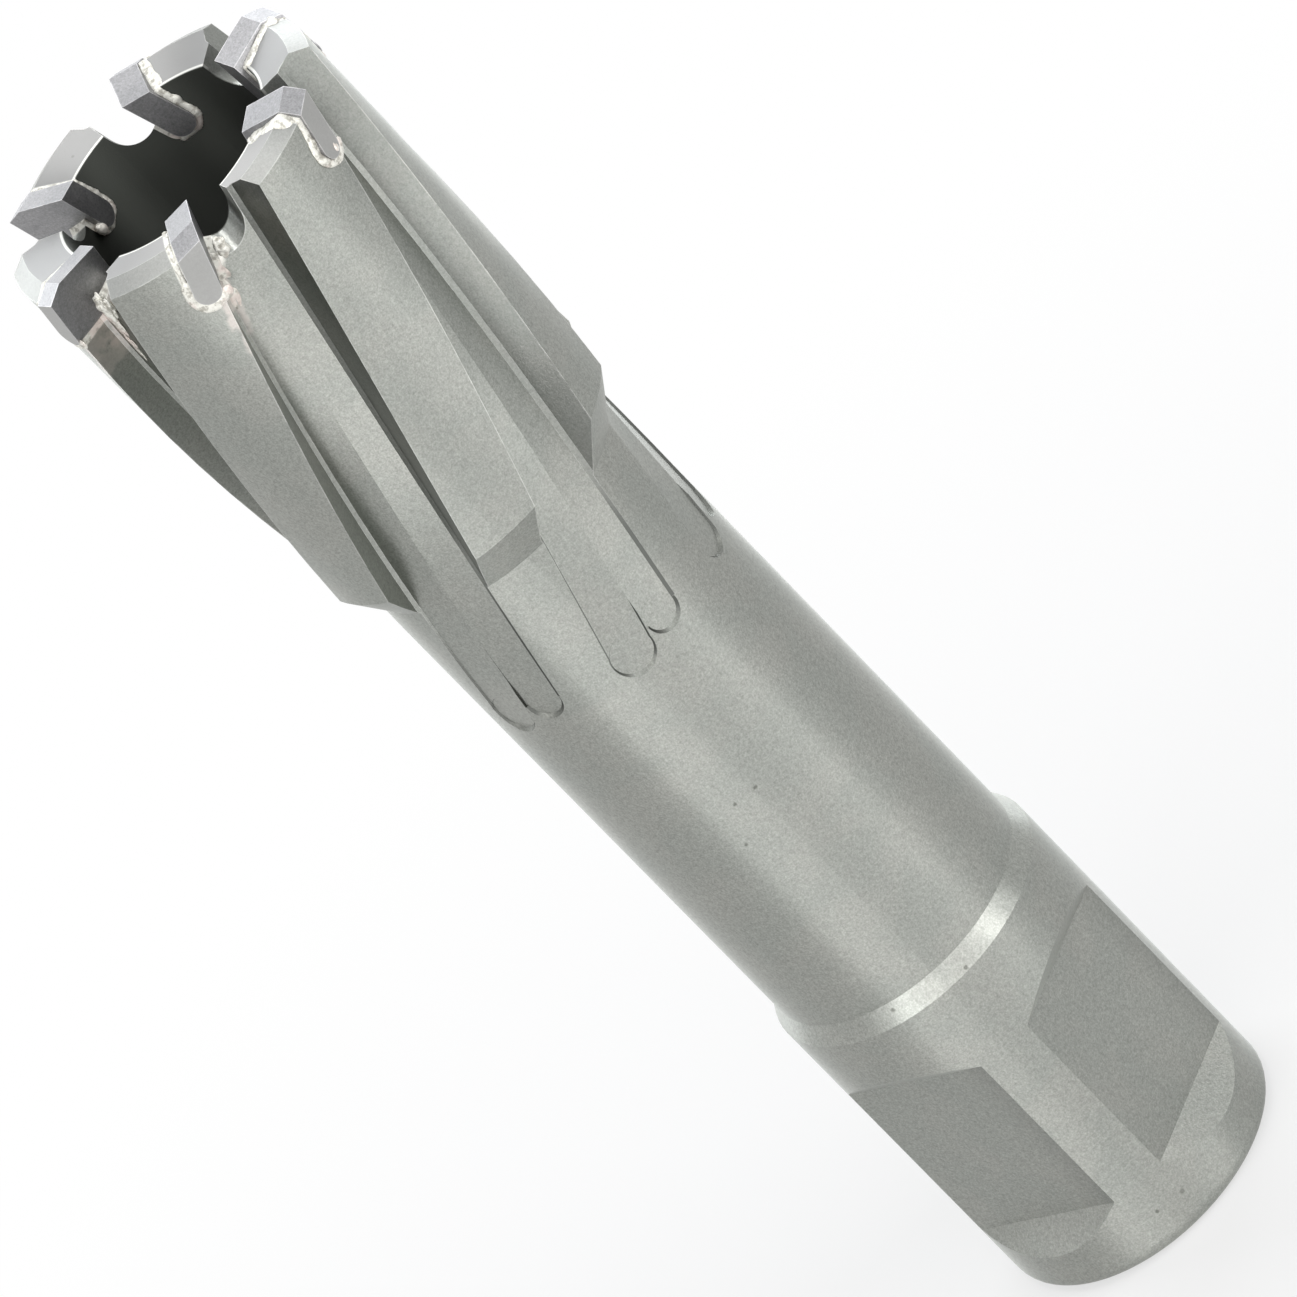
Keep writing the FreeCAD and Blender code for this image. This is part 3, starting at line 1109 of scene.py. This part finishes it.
@dataclass(frozen=True)
class SteelFinish(Finish):
    """Satin ground and milled steel, dark inside the core hole: its oxide and painted shade.

    Its zones are bands of heights and radii in millimetres, and of how far the surface faces one
    way, from -1 to 1. Each is a soft step from its first number to its second.
    """

    first: Colour = (0.302, 0.313, 0.290)
    second: Colour = (0.320, 0.326, 0.302)
    blotches: Band = (0.35, 0.65)
    crest: Colour = (0.33, 0.33, 0.326)
    # Inside the core hole: the steel's own dark oxide, made darker still with painted shade.
    bore: Colour = (0.055, 0.058, 0.052)
    # Painted highlight: a pale line along the rim of the core hole.
    rim: Coat = Coat((0.80, 0.80, 0.76), 0.8)
    # Painted shade: a dark coat on the walls that face back round the axis.
    back_wall_painted_shade: Coat = Coat((0.10, 0.105, 0.10), 0.35)
    # Painted shade: a dark coat on the side walls of the flute run-outs on the neck.
    lip: Coat = Coat((0.14, 0.145, 0.135), 0.85)
    pit: Coat = Coat((0.08, 0.08, 0.07), 0.55)
    speck: Coat = Coat((0.06, 0.06, 0.05), 0.6)
    # Painted highlight: a pale coat along sharp edges.
    edge: Coat = Coat((0.80, 0.80, 0.77), 0.45)
    crest_facing: Band = (0.8, 0.95)
    crest_heights: Band = (90.0, 92.5)
    rim_radii: Band = (7.46, 7.40)
    rim_heights: Band = (93.2, 93.5)
    back_facing: Band = (-0.35, -0.7)
    low_heights: Band = (66.0, 58.0)
    neck_heights: Band = (29.0, 30.0)
    lip_facing: Band = (0.93, 0.8)
    side_facing: Band = (0.7, 0.3)
    bore_radii: Band = (7.32, 7.22)
    bore_heights: Band = (30.0, 34.0)
    edge_width: float = 0.00012
    brushing: float = 0.9
    roughness: float = 0.36
    blotch_roughness: float = 0.06
    bore_roughness: float = 0.2
    crest_roughness: float = 0.2
    lip_roughness: float = 0.3
    bump_strength: float = 0.35
    bump_depth: float = 0.00003

    def zones(self, wiring: Wiring, spot: bpy.types.Node) -> dict[str, bpy.types.NodeSocket]:
        """Make the masks of the places where the steel looks different.

        Args:
            wiring: The material's nodes.
            spot: The placed effect that tells where a point is.

        Returns:
            The masks by name: the crests, the hole's rim, which gets a painted highlight, the
                walls
            that face back, which get painted shade, the low part of the cutter, the lips where the
            flutes end, their side walls, which get painted shade, and the bore, which gets its
            dark oxide and painted shade.
        """
        radius, height, facing_up = (spot.outputs[title]
                                     for title in ("Radius", "Height", "Facing Up"))
        low = wiring.step(height, *self.low_heights)
        neck = wiring.math("MULTIPLY", low, wiring.step(height, *self.neck_heights))
        leaning = wiring.step(spot.outputs["Facing Out"], *self.lip_facing)
        lip = wiring.math("MULTIPLY", leaning, neck)
        return {
            "crest": wiring.math("MULTIPLY", wiring.step(facing_up, *self.crest_facing),
                                 wiring.step(height, *self.crest_heights)),
            "rim": wiring.math("MULTIPLY", wiring.step(radius, *self.rim_radii),
                               wiring.step(height, *self.rim_heights)),
            "back": wiring.step(spot.outputs["Facing Round"], *self.back_facing),
            "low": low,
            "lip": lip,
            "side": wiring.math("MULTIPLY", lip, wiring.step(facing_up, *self.side_facing)),
            "bore": wiring.math("MULTIPLY", wiring.step(radius, *self.bore_radii),
                                wiring.step(height, *self.bore_heights)),
        }

    def build(self) -> bpy.types.Material:
        """Make the material.

        Returns:
            The new material.
        """
        material, wiring, shader = self.start()
        spot = self.effects.place_on_part.place(wiring)
        place = spot.outputs["Place"]
        grain = self.effects.grain.place(wiring, Place=place)
        shine = self.effects.edge_shine.place(wiring, Width=self.edge_width, Place=place)
        zones = self.zones(wiring, spot)
        tone = self.speckled(wiring, grain, self.blotches, self.first, self.second)
        tone = wiring.mix(zones["crest"], tone, self.crest)
        # Painted highlight: a pale line laid along the rim of the core hole.
        tone = self.tint(wiring, tone, zones["rim"], self.rim)
        # Painted shade: the walls that face back round the axis are darkened.
        tone = self.tint(wiring, tone, zones["back"], self.back_wall_painted_shade)
        # Painted shade: the side walls of the flute run-outs are darkened.
        tone = self.tint(wiring, tone, zones["side"], self.lip)
        # The core hole gets its dark oxide together with painted shade.
        tone = wiring.mix(zones["bore"], tone, self.bore)
        tone = self.tint(wiring, tone, grain.outputs["Pits"], self.pit)
        tone = self.smears(wiring, tone, spot)
        for speck in SPECKS:
            mask = self.effects.speck.place(wiring, Place=place, Centre=speck.place())
            tone = self.tint(wiring, tone, mask.outputs["Mask"], self.speck)
        # Painted highlight: a pale strip along sharp edges, left out in the bore and the low part
        # of the cutter.
        dull = wiring.math("MAXIMUM", zones["bore"], zones["low"])
        bright = wiring.math("MULTIPLY", shine.outputs["Mask"],
                             wiring.math("SUBTRACT", 1.0, dull))
        tone = self.tint(wiring, tone, bright, self.edge)
        wiring.feed(shader.inputs["Base Color"], tone)
        shader.inputs["Metallic"].default_value = 1.0
        shader.inputs["Anisotropic"].default_value = self.brushing
        wiring.feed(shader.inputs["Tangent"], self.turning_marks(wiring))
        rough = wiring.math("MULTIPLY_ADD", grain.outputs["Blotch"], self.blotch_roughness,
                            self.roughness)
        for zone, more in (("bore", self.bore_roughness), ("crest", self.crest_roughness),
                           ("lip", self.lip_roughness)):
            rough = wiring.math("MULTIPLY_ADD", zones[zone], more, rough)
        wiring.feed(shader.inputs["Roughness"], rough)
        self.bump(wiring, shader, grain.outputs["Grain"], self.bump_strength, self.bump_depth)
        return material

    def smears(self, wiring: Wiring, tone: bpy.types.NodeSocket,
               spot: bpy.types.Node) -> bpy.types.NodeSocket:
        """Lay the flux smears over a tone.

        Args:
            wiring: The material's nodes.
            tone: The tone without smears.
            spot: The placed effect that tells where a point is.

        Returns:
            The tone with all smears.
        """
        ragged = wiring.noise(spot.outputs["Place"], SMEAR_NOISE, 3.0, 0.6)
        for smear in SMEARS:
            mask = self.effects.smear.place(
                wiring, Turn=spot.outputs["Turn"], Height=spot.outputs["Height"], Ragged=ragged,
                Centre_Turn=smear.turn, Centre_Height=smear.height, Half_Turn=smear.half_turn,
                Half_Height=smear.half_height, Lean=smear.lean)
            coat = Coat(smear.colour, smear.strength)
            tone = self.tint(wiring, tone, mask.outputs["Mask"], coat)
        return tone

    @staticmethod
    def turning_marks(wiring: Wiring) -> bpy.types.NodeSocket:
        """Work out the direction across the turning marks, which run round the axis.

        Args:
            wiring: The material's nodes.

        Returns:
            The direction, along the surface.
        """
        normal = wiring.add("ShaderNodeNewGeometry").outputs["Normal"]
        place = wiring.add("ShaderNodeTexCoord").outputs["Object"]
        marks = wiring.vector("CROSS_PRODUCT", (0.0, 0.0, 1.0), place)
        return wiring.vector("NORMALIZE", wiring.vector("CROSS_PRODUCT", normal, marks))


@dataclass(frozen=True)
class CarbideFinish(Finish):
    """Ground carbide, finely speckled, with a lighter outside face."""

    first: Colour = (0.235, 0.235, 0.24)
    second: Colour = (0.275, 0.273, 0.278)
    blotches: Band = (0.4, 0.6)
    outside: Coat = Coat((0.40, 0.40, 0.385), 0.7)
    outside_facing: Band = (0.9, 0.98)
    # Painted highlight: a pale coat along sharp edges.
    edge: Coat = Coat((0.8, 0.79, 0.8), 0.5)
    edge_width: float = 0.0001
    roughness: float = 0.42
    blotch_roughness: float = 0.1
    bump_strength: float = 0.25
    bump_depth: float = 0.00002

    def build(self) -> bpy.types.Material:
        """Make the material.

        Returns:
            The new material.
        """
        material, wiring, shader = self.start()
        spot = self.effects.place_on_part.place(wiring)
        place = spot.outputs["Place"]
        grain = self.effects.grain.place(wiring, Place=place)
        shine = self.effects.edge_shine.place(wiring, Width=self.edge_width, Place=place)
        outside = wiring.step(spot.outputs["Facing Out"], *self.outside_facing)
        tone = self.speckled(wiring, grain, self.blotches, self.first, self.second)
        tone = self.tint(wiring, tone, outside, self.outside)
        # Painted highlight: a pale strip along the tips' sharp edges.
        tone = self.tint(wiring, tone, shine.outputs["Mask"], self.edge)
        wiring.feed(shader.inputs["Base Color"], tone)
        shader.inputs["Metallic"].default_value = 1.0
        rough = wiring.math("MULTIPLY_ADD", grain.outputs["Blotch"], self.blotch_roughness,
                            self.roughness)
        wiring.feed(shader.inputs["Roughness"], rough)
        self.bump(wiring, shader, grain.outputs["Grain"], self.bump_strength, self.bump_depth)
        return material


@dataclass(frozen=True)
class BrazeFinish(Finish):
    """Rough pale filler metal with darker flux spots, pinkish low down."""

    dark: Colour = (0.36, 0.345, 0.30)
    pale: Colour = (0.74, 0.73, 0.67)
    pale_lumps: Band = (0.34, 0.56)
    lump_noise: float = 2600.0
    pinkish: Coat = Coat((0.66, 0.55, 0.51), 0.6)
    pinkish_heights: Band = (91.6, 90.4)
    pinkish_patches: Band = (0.42, 0.58)
    patch_noise: float = 900.0
    metallic: float = 0.25
    roughness: float = 0.3
    lump_roughness: float = 0.3
    bump_strength: float = 0.6
    bump_depth: float = 0.00008

    def build(self) -> bpy.types.Material:
        """Make the material.

        Returns:
            The new material.
        """
        material, wiring, shader = self.start()
        spot = self.effects.place_on_part.place(wiring)
        place = spot.outputs["Place"]
        lump = wiring.noise(place, self.lump_noise, 3.0, 0.6)
        low = wiring.step(spot.outputs["Height"], *self.pinkish_heights)
        patch = wiring.step(wiring.noise(place, self.patch_noise), *self.pinkish_patches)
        tone = wiring.mix(wiring.step(lump, *self.pale_lumps), self.dark, self.pale)
        tone = self.tint(wiring, tone, wiring.math("MULTIPLY", low, patch), self.pinkish)
        wiring.feed(shader.inputs["Base Color"], tone)
        shader.inputs["Metallic"].default_value = self.metallic
        rough = wiring.math("MULTIPLY_ADD", lump, self.lump_roughness, self.roughness)
        wiring.feed(shader.inputs["Roughness"], rough)
        self.bump(wiring, shader, lump, self.bump_strength, self.bump_depth)
        return material


@dataclass(frozen=True)
class FloorFinish(Finish):
    """Plain pale floor, which shines white by itself to the camera and in reflections.

    Near the cutter it shines less, so that the cutter's shadow stays. The two distances are
    radii round the axis in millimetres.
    """

    colour: Colour = (0.66, 0.66, 0.66)
    roughness: float = 0.9
    near_share: float = 0.6
    near: float = 15.0
    far: float = 110.0

    def build(self) -> bpy.types.Material:
        """Make the material.

        Returns:
            The new material.
        """
        material, wiring, shader = self.start()
        shader.inputs["Base Color"].default_value = (*self.colour, 1.0)
        shader.inputs["Roughness"].default_value = self.roughness
        place = wiring.add("ShaderNodeTexCoord").outputs["Object"]
        radius = wiring.math("MULTIPLY", wiring.vector("LENGTH", place), 1.0 / MM)
        away = wiring.step(radius, self.near, self.far)
        share = wiring.math("MULTIPLY_ADD", away, 1.0 - self.near_share, self.near_share)
        shine = wiring.add("ShaderNodeEmission")
        shine.inputs["Color"].default_value = WHITE
        blend = wiring.add("ShaderNodeMixShader")
        wiring.feed(blend.inputs[0], wiring.math("MULTIPLY", wiring.seen_rays(), share))
        wiring.feed(blend.inputs[1], shader.outputs[0])
        wiring.feed(blend.inputs[2], shine.outputs[0])
        output = next(node for node in wiring.tree.nodes if node.type == "OUTPUT_MATERIAL")
        wiring.feed(output.inputs["Surface"], blend.outputs[0])
        return material


def main() -> None:
    """Build the scene."""
    logging.basicConfig(level=logging.INFO, format="%(message)s")
    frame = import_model()
    effects = Effects()
    braze = BrazeFinish(effects, Slot.BRAZE.value).build()
    finishes = {
        "cutter_body": SteelFinish(effects, Slot.STEEL.value).build(),
        "carbide_tip": CarbideFinish(effects, Slot.CARBIDE.value).build(),
        "braze_joint": braze,
    }
    for name, node in frame["nodes"].items():
        node.data.materials.clear()
        kind = next(kind for kind in finishes if name.startswith(kind))
        node.data.materials.append(finishes[kind])
        LOG.info("%s: finish of %s", name, kind)
    for work in braze_works():
        piece = work.build(braze)
        LOG.info("%s: %d faces", piece.name, len(piece.data.polygons))
    studio = Studio()
    studio.build_camera()
    studio.build_floor(FloorFinish(effects, "floor").build())
    studio.build_lamps()
    bpy.context.scene.view_settings.view_transform = "Standard"
    bpy.context.view_layer.update()


if __name__ == "__main__":
    main()
